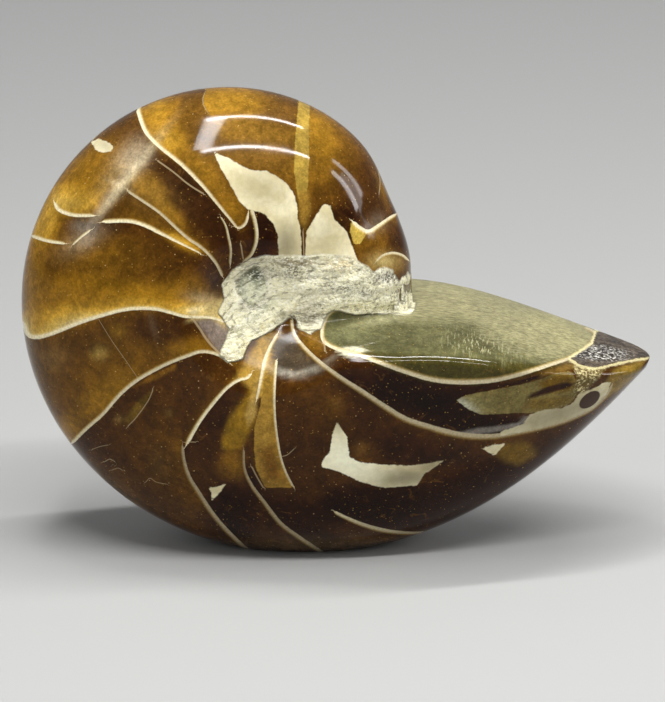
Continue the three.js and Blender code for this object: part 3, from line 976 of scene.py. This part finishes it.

# The ledge is cream flakes with browner, greyer and yellower places, and a round grey-green plug with a pale
# ring, a thin line of painted shadow inside the ring, and painted shade at its top and left. Dark crumbs
# pepper some places more than others.
LEDGE_TONE = tone(246, 240, 202)
LEDGE_PLACES = {
    "under_flakes": (298, 262, 40, 6, 3, tone(146, 130, 96), 0.8),
    "spire_foot": (343, 264, 13, 8, 0, tone(212, 194, 146), 0.8),
    "grey_middle": (285, 276, 18, 8, 8, tone(190, 186, 160), 0.5),
    "pale_right": (352, 293, 26, 4, 4, tone(254, 250, 222), 0.6),
    "crumbs": (312, 316, 14, 14, -15, tone(178, 168, 146), 0.8),
    "crystals": (386, 277, 13, 7, 0, tone(206, 198, 182), 0.8),
    "grey_end": (408, 297, 5, 9, 10, tone(136, 134, 112), 0.8),
    "yellow_band": (368, 307, 42, 4, -3, tone(240, 230, 172), 0.8),
    "lobe": (240, 345, 13, 15, 0, tone(222, 214, 168), 0.9),
    "left_root": (226, 308, 8, 16, 0, tone(214, 204, 162), 0.6),
    "rind": (233, 267, 18, 5, -42, tone(196, 178, 134), 0.7),
    "lobe_edge": (251, 350, 5, 13, 25, tone(208, 182, 116), 0.7),
    "lobe_foot": (228, 359, 8, 5, 0, tone(214, 196, 148), 0.6),
    "end_ridge": (392, 304, 22, 3, -8, tone(250, 244, 206), 0.7),
    "end_ridge_upper": (388, 290, 16, 2, -16, tone(248, 238, 196), 0.7),
    "stripe": (262, 309, 20, 4, -38, tone(196, 202, 168), 0.6),
}
PLUG_TONE = tone(232, 232, 196)
PLUG_SHADE_TONE = tone(82, 94, 72)
PLUG_SHADES = [(256, 274, 13, 10, 15, 1.0), (240, 288, 6, 15, 8, 0.6)]
PLUG_EDGE = -0.5, 2
RING_TONE, RING_BAND = tone(252, 246, 218), (-2, 2.5)
# A thin painted shadow line just inside the pale ring.
RING_SHADOW_TONE, RING_SHADOW_BAND, RING_SHADOW_STRENGTH = tone(120, 116, 84), (0.8, 0.9), 0.6
EVEN_PEPPER = 0.22
PEPPER_PLACES = [
    (288, 272, 24, 10, 10, 1.0), (350, 288, 34, 4, 6, 0.8), (386, 277, 13, 8, 0, 1.0),
    (310, 308, 13, 18, 0, 1.0), (395, 302, 16, 6, 0, 0.3), (240, 262, 20, 6, -30, 0.3),
]


def band(depth, middle, reach):
    """A soft band along an outline: exp(-((depth - middle) / reach)^2)."""
    return np.exp(-(((depth - middle) / reach) ** 2))


ledge_colour = np.tile(LEDGE_TONE, (len(spots), 1))
for *where, colour, strength in LEDGE_PLACES.values():
    ledge_colour = laid_over(ledge_colour, colour, strength * pool(*where))
plug_shade = np.max([strength * pool(*where) for *where, strength in PLUG_SHADES], axis=0)
plug_colour = laid_over(PLUG_TONE, PLUG_SHADE_TONE, plug_shade)
ledge_colour = laid_over(ledge_colour, RING_TONE, band(depths["plug"], *RING_BAND))
ledge_colour = laid_over(ledge_colour, plug_colour, smoothstep(depths["plug"], *PLUG_EDGE))
ledge_colour = laid_over(ledge_colour, RING_SHADOW_TONE, RING_SHADOW_STRENGTH * band(depths["plug"], *RING_SHADOW_BAND))
pepper_share = EVEN_PEPPER + np.max([strength * pool(*where) for *where, strength in PEPPER_PLACES], axis=0)

# The ledge's thin layers slope at its left end and lie nearly level at its right end.
LEFT_END, RIGHT_START = 272, 304
ledge_left = smoothstep(spots[:, 0], RIGHT_START, LEFT_END)

# The rough ledge stands and sinks in broken terraces, about a third of a millimetre each way. The plug is
# calmer and has a shallow groove round it, and the slab stands a little proud. These sizes are in metres, and
# the edges across an outline in pixels.
LEDGE_DROP = 0.0005
TERRACES = 4
TERRACE_EDGE = 0.3, 0.7
FLAKE_LENGTH, FLAKE_HEIGHT = 0.0052, 0.0016
GRAIN_SIZE = 0.0011
GRAIN_SHARE = 0.35
LEDGE_EDGE = 0, 6
PLUG_CALM, PLUG_CALM_EDGE = 0.8, (-1, 2)
GROOVE_DEPTH, GROOVE_BAND = 0.0003, (0, 2.5)
SLAB_RISE, SLAB_EDGE = 0.0003, (-1, 1.5)
NOISE_ORIGIN = 1
FAR_SHIFT = 0.1
LATTICE_SIZE = 64
SEED = 7
LATTICE = np.random.default_rng(SEED).random((LATTICE_SIZE, LATTICE_SIZE, 2))


def lattice_noise(x, z, layer):
    """Smooth noise from 0 to 1: random lattice values, blended between the four nearest by cubic steps."""
    column, row = np.floor(x).astype(int), np.floor(z).astype(int)
    u, v = smoothstep(x - column, 0, 1), smoothstep(z - row, 0, 1)

    def value(i, j):
        return LATTICE[(column + i) % LATTICE_SIZE, (row + j) % LATTICE_SIZE, layer]

    return (value(0, 0) * (1 - u) + value(1, 0) * u) * (1 - v) + (value(0, 1) * (1 - u) + value(1, 1) * u) * v


x = points[:, 0] + NOISE_ORIGIN
z = points[:, 2] + FAR_SHIFT * is_far + NOISE_ORIGIN
coarse = lattice_noise(x / FLAKE_LENGTH, z / FLAKE_HEIGHT, 0) * TERRACES
stepped = (np.floor(coarse) + smoothstep(coarse % 1, *TERRACE_EDGE)) / TERRACES
fine = lattice_noise(x / GRAIN_SIZE, z / GRAIN_SIZE, 1)
relief = LEDGE_DROP * smoothstep(depths["rough"], *LEDGE_EDGE) * (stepped - 0.5 + GRAIN_SHARE * (fine - 0.5))
relief *= 1 - PLUG_CALM * smoothstep(depths["plug"], *PLUG_CALM_EDGE)
relief -= GROOVE_DEPTH * band(depths["plug"], *GROOVE_BAND)
relief += SLAB_RISE * smoothstep(depths["slab"], *SLAB_EDGE)

# Each point moves by its relief along the way its flank faces: the cross product of the grid's two
# directions, turned so that the near flank faces the camera. The form stays within the solid's box.
NO_DIVISION_BY_ZERO = 1e-12
grid = flank.reshape(row_length, row_length, 3)
facing = np.cross(np.gradient(grid, axis=1), np.gradient(grid, axis=0)).reshape(-1, 3)
facing /= np.linalg.norm(facing, axis=1, keepdims=True) + NO_DIVISION_BY_ZERO
a_flank_point = side_count // 4 + row_length // 4
facing *= -np.sign(facing[a_flank_point, 1])
facing = np.concatenate([facing, (facing * [1, -1, 1])[inner]])
points = np.clip(points + facing * relief[:, None], np.array(cad_low), np.array(cad_high))

# The stone is one smooth mesh. Its points carry the marks and the base colours, each under the name by which
# the material reads it.
mesh = bpy.data.meshes.new("nautilus")
mesh.from_pydata(points.tolist(), [], faces.tolist())
mesh.polygons.foreach_set("use_smooth", np.ones(len(mesh.polygons), bool))
MARKS = {
    "hair_side": np.clip(hair_side, -NO_WALL, NO_WALL),
    "hair_near": hair_near,
    "filling": filling,
    "cream": cream,
    "painted_cream_shade": painted_cream_shade,
    "pepper_share": pepper_share,
    "ledge_left": ledge_left,
    **{name: pool(*where) for name, where in SOFT_SPOTS.items()},
    **{name: depths[name] for name in ("rough", "slab", "crystal", "tip_grains", "fibre")},
}
for name, side, near, pale in zip(FAMILIES, wall_side, wall_near, wall_pale):
    MARKS[name + "_side"] = np.clip(side, -NO_WALL, NO_WALL)
    MARKS[name + "_near"] = near
    MARKS[name + "_pale"] = pale
for name, values in MARKS.items():
    mesh.attributes.new(name, "FLOAT", "POINT").data.foreach_set("value", values.astype(np.float32))
COLOURS = {"stone_colour": stone_colour, "filling_colour": filling_colour, "ledge_colour": ledge_colour}
for name, colours in COLOURS.items():
    layer = mesh.color_attributes.new(name, "FLOAT_COLOR", "POINT")
    layer.data.foreach_set("color", np.insert(colours, 3, 1, axis=1).astype(np.float32).ravel())
nautilus = bpy.data.objects.new("nautilus", mesh)
bpy.context.scene.collection.objects.link(nautilus)

# The look of the polished stone. The marks on the mesh say what lies where, and the nodes give each stuff its
# grain. A value between two numbers runs from the first to the second, so the order of the two says which way
# it rises.
stone = bpy.data.materials.new("polished_fossil")
stone.use_nodes = True
nodes = stone.node_tree.nodes
shader = nodes["Principled BSDF"]
own_place = nodes.new("ShaderNodeTexCoord").outputs["Object"]
NOISE_ROUGHNESS = 0.6


def wire(value, socket):
    """Joins an output to a socket, or sets a plain number or a colour on it."""
    if isinstance(value, bpy.types.NodeSocket):
        stone.node_tree.links.new(value, socket)
    elif isinstance(value, np.ndarray):
        socket.default_value = (*value, 1)
    else:
        socket.default_value = value


def math_of(operation, first, second):
    """One arithmetic step."""
    node = nodes.new("ShaderNodeMath")
    node.operation = operation
    wire(first, node.inputs[0])
    wire(second, node.inputs[1])
    return node.outputs[0]


def times(first, second):
    """The product of two values."""
    return math_of("MULTIPLY", first, second)


def plus(first, second):
    """The sum of two values."""
    return math_of("ADD", first, second)


def between(value, low, high, to_low=0.0, to_high=1.0):
    """A value carried from one range to another along a smooth step."""
    node = nodes.new("ShaderNodeMapRange")
    node.interpolation_type = "SMOOTHSTEP"
    wire(value, node.inputs["Value"])
    for socket, number in zip(("From Min", "From Max", "To Min", "To Max"), (low, high, to_low, to_high)):
        node.inputs[socket].default_value = number
    return node.outputs["Result"]


def blend(first, second, share_of_second, mode="MIX"):
    """One colour laid over another: first * (1 - share) + second * share, or the product of the two."""
    node = nodes.new("ShaderNodeMix")
    node.data_type = "RGBA"
    node.blend_type = mode
    wire(share_of_second, node.inputs["Factor"])
    wire(first, node.inputs["A"])
    wire(second, node.inputs["B"])
    return node.outputs["Result"]


def shaded(base, texture, low, high, darkest, lightest):
    """A colour times a factor that runs from darkest to lightest as the texture runs from low to high."""
    return blend(base, between(texture, low, high, darkest, lightest), 1.0, "MULTIPLY")


def mark(name, output="Fac"):
    """A mark stored on the mesh, as a number or as its Color."""
    node = nodes.new("ShaderNodeAttribute")
    node.attribute_name = name
    return node.outputs[output]


def ragged(name, texture, reach):
    """A mark plus (texture - 0.5) * reach, which breaks up the edge that is drawn from it."""
    return plus(mark(name), times(math_of("SUBTRACT", texture, 0.5), reach))


def noise(cells_per_metre, detail, vector=own_place, distortion=0.0):
    """Cloudy noise from 0 to 1."""
    node = nodes.new("ShaderNodeTexNoise")
    wire(vector, node.inputs["Vector"])
    node.inputs["Scale"].default_value = cells_per_metre
    node.inputs["Detail"].default_value = detail
    node.inputs["Roughness"].default_value = NOISE_ROUGHNESS
    node.inputs["Distortion"].default_value = distortion
    return node.outputs["Fac"]


def cells_of(cells_per_metre, vector=own_place, feature="F1"):
    """Cells round scattered points: the Distance from the point, or from the edge, and a Color for each."""
    node = nodes.new("ShaderNodeTexVoronoi")
    node.feature = feature
    wire(vector, node.inputs["Vector"])
    node.inputs["Scale"].default_value = cells_per_metre
    return node.outputs


def stretched(along_x, along_y, along_z, turned=(0, 0, 0)):
    """Object coordinates turned back by the angles, then scaled on each axis, for grain that runs one way."""
    node = nodes.new("ShaderNodeMapping")
    node.vector_type = "TEXTURE"
    wire(own_place, node.inputs["Vector"])
    node.inputs["Rotation"].default_value = turned
    node.inputs["Scale"].default_value = (1 / along_x, 1 / along_y, 1 / along_z)
    return node.outputs["Vector"]


# Calcite is clouded at every size. Each layer is a noise, the range of it that counts, and the factors by
# which it darkens and lightens the colour. Milky motes, gold specks and dust float in it.
clouds = noise(170, 6, distortion=0.6)
mottle = noise(480, 6, distortion=0.9)
grain = noise(1100, 3)
flecks = noise(2500, 2)
FILLING_WAVER = 2.0
MOTE_TONE, MOTE_STRENGTH = tone(150, 104, 40), 0.22
# Dots: cells per metre, the dot's edge and its middle, the draw from which a cell has one, colour and
# strength.
DOTS = {
    "specks": (760, (0.12, 0.04), (0.66, 0.70), tone(214, 180, 120), 0.6),
    "dust": (1500, (0.22, 0.08), (0.60, 0.66), tone(206, 160, 74), 0.42),
}
filling_cover = between(ragged("filling", grain, FILLING_WAVER), -0.6, 0.6)
colour = blend(mark("stone_colour", "Color"), mark("filling_colour", "Color"), filling_cover)
colour = shaded(colour, clouds, 0.32, 0.68, 0.82, 1.2)
colour = shaded(colour, mottle, 0.34, 0.68, 0.80, 1.26)
colour = shaded(colour, grain, 0.3, 0.7, 0.90, 1.10)
colour = shaded(colour, flecks, 0.3, 0.7, 0.84, 1.18)
motes = between(noise(520, 4, distortion=1.5), 0.58, 0.74)
colour = blend(colour, MOTE_TONE, times(motes, MOTE_STRENGTH))
for cells_per_metre, dot_range, draw_range, dot_tone, strength in DOTS.values():
    dot_cells = cells_of(cells_per_metre)
    dots = times(between(dot_cells["Distance"], *dot_range), between(dot_cells["Color"], *draw_range))
    colour = blend(colour, dot_tone, times(dots, strength))

# The green filling has fine fibres along the mouth, and pale upright strokes in one place.
FIBRE_TONES = tone(88, 84, 52), tone(196, 188, 142)
FIBRE_STRENGTH = 0.42
STROKE_TONE, STROKE_STRENGTH = tone(186, 182, 140), 0.75
threads = noise(1.0, 5, stretched(700, 2900, 2900, (0, 0, math.radians(8))))
fibre_cover = between(mark("fibre"), -6, 6)
fibre_colour = blend(*FIBRE_TONES, between(threads, 0.34, 0.66))
colour = blend(colour, blend(colour, fibre_colour, FIBRE_STRENGTH), fibre_cover)
stroke_noise = noise(1.0, 3, stretched(2600, 420, 420, (0, math.radians(12), 0)))
stroke_cover = times(between(stroke_noise, 0.52, 0.66), mark("strokes"))
colour = blend(colour, STROKE_TONE, times(stroke_cover, STROKE_STRENGTH))

# Walls and hairlines of shell. A wall fades into its glow on one side, and is crisp on the other.
WALL_WAVER = 0.5
DIM_WALL_TONES = tone(128, 108, 74), tone(120, 88, 34)
PALE_WALL_TONES = tone(248, 236, 196), tone(216, 186, 104)
WALL_STRENGTH = 0.9
HAIR_TONE, HAIR_STRENGTH = tone(176, 156, 118), 0.6


def line_cover(name, fade_start, fade_end):
    """Inside a line: the offset over the half width is past -1, and fades from fade_start to fade_end."""
    offset = ragged(name + "_side", grain, WALL_WAVER)
    close = between(mark(name + "_near"), 4.0, 3.0)
    crisp = between(offset, -1.25, -0.75)
    fading = between(offset, fade_end, fade_start)
    return times(times(crisp, fading), close)


for family in FAMILIES:
    wall_tone, glow_tone = (
        blend(dim, pale, mark(family + "_pale")) for dim, pale in zip(DIM_WALL_TONES, PALE_WALL_TONES)
    )
    wall_tone = blend(wall_tone, glow_tone, between(mark(family + "_side"), 0.1, 1.7))
    wall_tone = shaded(wall_tone, flecks, 0.3, 0.7, 0.84, 1.12)
    colour = blend(colour, wall_tone, times(line_cover(family, 0.3, 2.3), WALL_STRENGTH))
colour = blend(colour, HAIR_TONE, times(line_cover("hair", 0.75, 1.25), HAIR_STRENGTH))

# Cream flakes of shell, faintly cloudy, with painted shade, painted light and the dark hole in the lip's
# flake.
CREAM_WAVER = 3.0
CREAM_TONES = tone(216, 203, 158), tone(240, 230, 192)
PAINTED_CREAM_SHADE_TONE, PAINTED_CREAM_LIGHT_TONE = tone(116, 106, 78), tone(255, 252, 220)
HOLE_TONE = tone(62, 42, 28)
cream_cover = between(ragged("cream", grain, CREAM_WAVER), -0.7, 0.7)
cream_tone = blend(*CREAM_TONES, between(clouds, 0.35, 0.65))
cream_tone = blend(cream_tone, PAINTED_CREAM_SHADE_TONE, mark("painted_cream_shade"))
cream_tone = blend(cream_tone, PAINTED_CREAM_LIGHT_TONE, mark("painted_cream_light"))
cream_tone = shaded(cream_tone, grain, 0.3, 0.7, 0.94, 1.05)
colour = blend(colour, cream_tone, cream_cover)
colour = blend(colour, HOLE_TONE, between(mark("lip_hole"), 0.33, 0.41))

# The rough ledge: pale broken flakes in thin layers, peppered with dark crumbs and glints, with a few cracks.
LEDGE_WAVER = 6.0
GLINT_TONE, GLINT_STRENGTH = tone(253, 250, 232), 0.75
CRUMB_TONE, CRUMB_STRENGTH = tone(60, 54, 38), 0.85
LAYER_TONES = tone(96, 90, 66), tone(255, 252, 228)
LAYER_STRENGTH = 0.6
CRACK_TONE, CRACK_STRENGTH = tone(52, 46, 34), 0.35
SLAB_TONES = tone(222, 212, 164), tone(250, 244, 212)
flake_place = stretched(0.45, 1.0, 1.0, (0, math.radians(-8), 0))
flake_noise = noise(360, 6, flake_place, 1.4)
crumbs = noise(1500, 4)
pepper = noise(2900, 3, stretched(0.7, 1.0, 1.0))
crack_distance = cells_of(300, flake_place, "DISTANCE_TO_EDGE")["Distance"]
layers_left = noise(1.0, 4, stretched(380, 1500, 1500, (0, math.radians(-35), 0)))
layers_right = noise(1.0, 4, stretched(300, 1500, 1500, (0, math.radians(5), 0)))
at_left = mark("ledge_left")
layers = plus(times(layers_left, at_left), times(layers_right, math_of("SUBTRACT", 1.0, at_left)))
peppered = times(between(noise(240, 3), 0.40, 0.60, 0.35, 1.0), mark("pepper_share"))
rough_tone = shaded(mark("ledge_colour", "Color"), flake_noise, 0.34, 0.60, 0.72, 1.16)
rough_tone = blend(rough_tone, GLINT_TONE, times(between(pepper, 0.53, 0.62), GLINT_STRENGTH))
dark_crumbs = times(between(pepper, 0.50, 0.44), peppered)
rough_tone = blend(rough_tone, CRUMB_TONE, times(dark_crumbs, CRUMB_STRENGTH))
rough_tone = blend(rough_tone, LAYER_TONES[0], times(between(layers, 0.46, 0.36), LAYER_STRENGTH))
rough_tone = blend(rough_tone, LAYER_TONES[1], times(between(layers, 0.54, 0.62), LAYER_STRENGTH))
cracks = times(between(crack_distance, 0.03, 0.0), between(flake_noise, 0.56, 0.44))
rough_tone = blend(rough_tone, CRACK_TONE, times(cracks, CRACK_STRENGTH))
slab_tone = blend(*SLAB_TONES, between(grain, 0.35, 0.65))
rough_tone = blend(rough_tone, slab_tone, between(mark("slab"), -0.6, 0.6))
rough_cover = between(ragged("rough", flake_noise, LEDGE_WAVER), -1.2, 1.2)
colour = blend(colour, rough_tone, rough_cover)

# The tip's top face is dark broken crystal with a pale rim and pale facets with painted glints, and gold
# grains lie below it.
CRYSTAL_WAVER = 4.0
CRYSTAL_TONES = tone(50, 41, 32), tone(96, 83, 68)
FACET_TONES = tone(50, 44, 38), tone(176, 172, 162)
PAINTED_SPARK_TONE = tone(244, 240, 232)
GRAIN_TONES = tone(96, 78, 34), tone(220, 206, 150)
RIM_TONE, RIM_STRENGTH = tone(226, 214, 160), 0.7
crystal_noise = noise(1900, 4)
facets = blend(*FACET_TONES, between(crystal_noise, 0.46, 0.60))
# Painted glints: the brightest grains of the facets.
facets = blend(facets, PAINTED_SPARK_TONE, between(crystal_noise, 0.60, 0.68))
crystal_tone = blend(*CRYSTAL_TONES, between(mottle, 0.40, 0.62))
crystal_tone = blend(crystal_tone, facets, between(mark("crystal_flecks_and_glints"), 0.15, 0.6, 0.1, 1.0))
crystal_depth = ragged("crystal", grain, CRYSTAL_WAVER)
crystal_cover = between(crystal_depth, -1.0, 1.0)
crystal_rim = times(between(crystal_depth, -4.0, -1.5), between(crystal_depth, 0.8, -0.6))
grain_tone = blend(*GRAIN_TONES, between(crystal_noise, 0.46, 0.66))
grain_cover = between(mark("tip_grains"), -2.0, 2.0)
colour = blend(colour, grain_tone, grain_cover)
colour = blend(colour, RIM_TONE, times(crystal_rim, RIM_STRENGTH))
colour = blend(colour, crystal_tone, crystal_cover)
wire(colour, shader.inputs["Base Color"])

# Polish: glossy calcite, a duller hollow by the hub, duller fibres and crystal, and dull broken stone.
FIBRE_DULLNESS = 0.24
LEDGE_DULLNESS = 0.62
HUB_DULLNESS = 0.34
TIP_DULLNESS = 0.25
STONE_IOR = 1.5
SPECULAR_LEVEL = 0.13
dull_rough = math_of("MAXIMUM", times(rough_cover, LEDGE_DULLNESS), times(mark("hub_dull"), HUB_DULLNESS))
dull_fibre = times(fibre_cover, FIBRE_DULLNESS)
dull_tip = times(math_of("MAXIMUM", crystal_cover, grain_cover), TIP_DULLNESS)
dullness = math_of("MAXIMUM", dull_rough, math_of("MAXIMUM", dull_fibre, dull_tip))
wire(plus(between(clouds, 0.3, 0.7, 0.05, 0.11), dullness), shader.inputs["Roughness"])
shader.inputs["IOR"].default_value = STONE_IOR
shader.inputs["Specular IOR Level"].default_value = SPECULAR_LEVEL

# Fine bumps: heights as shares of the bump's depth in metres.
BUMP_DEPTH = 0.0005
CRUMB_HEIGHT = 0.8
LAYER_HEIGHT = 0.7
FIBRE_HEIGHT = 0.10
CRYSTAL_HEIGHT = 0.6
GRAIN_HEIGHT = 0.5
broken = plus(plus(flake_noise, times(crumbs, CRUMB_HEIGHT)), times(layers, LAYER_HEIGHT))
height = times(broken, rough_cover)
height = plus(height, times(times(threads, fibre_cover), FIBRE_HEIGHT))
height = plus(height, times(times(crystal_noise, crystal_cover), CRYSTAL_HEIGHT))
height = plus(height, times(times(crystal_noise, grain_cover), GRAIN_HEIGHT))
bump = nodes.new("ShaderNodeBump")
bump.inputs["Strength"].default_value = 1.0
bump.inputs["Distance"].default_value = BUMP_DEPTH
wire(height, bump.inputs["Height"])
wire(bump.outputs["Normal"], shader.inputs["Normal"])
mesh.materials.append(stone)

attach(nautilus, "root")
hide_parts("polished_nautilus")
